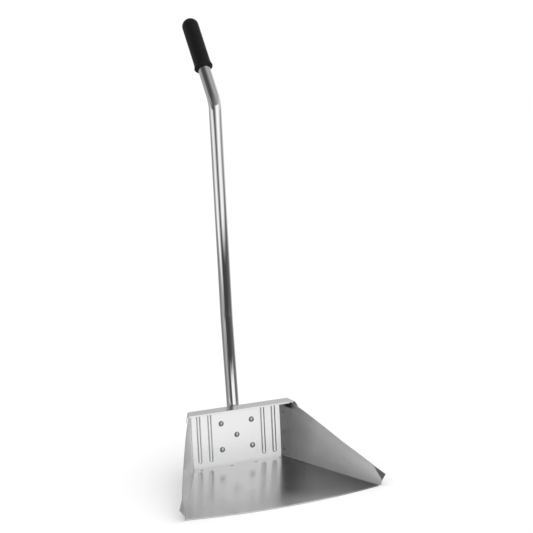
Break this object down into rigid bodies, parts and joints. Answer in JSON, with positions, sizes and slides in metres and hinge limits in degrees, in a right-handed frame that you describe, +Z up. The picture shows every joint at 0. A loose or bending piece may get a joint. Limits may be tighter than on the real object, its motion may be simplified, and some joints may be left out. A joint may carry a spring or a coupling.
{
  "type": "long handled dustpan",
  "caption": "Upright long-handled dustpan of folded stainless sheet with a bent polished tube handle and a black grip.",
  "frame": {"origin": "middle of the foot of the back plate, on the ground", "axes": "+X to the right seen from the mouth of the pan, +Y backwards away from the mouth, +Z up from the ground"},
  "size_m": [0.4336, 0.4983, 0.8827],
  "materials": {
    "pan_steel": "satin stainless sheet with a fine grain",
    "bracket_steel": "pressed steel, dull",
    "rivet_steel": "bright pressed heads",
    "tube_chrome": "polished tube",
    "grip_rubber": "matte black moulded grip"
  },
  "bodies": {
    "root": {"pan_tray": "pan_steel", "back_plate": "pan_steel", "top_rail": "pan_steel", "handle_bracket": "bracket_steel", "handle_tube": "tube_chrome", "hand_grip": "grip_rubber", "plate_rivets": "rivet_steel", "handle_bolt": "rivet_steel", "bolt_washer": "rivet_steel", "bolt_nut": "rivet_steel"}
  },
  "joints": []
}
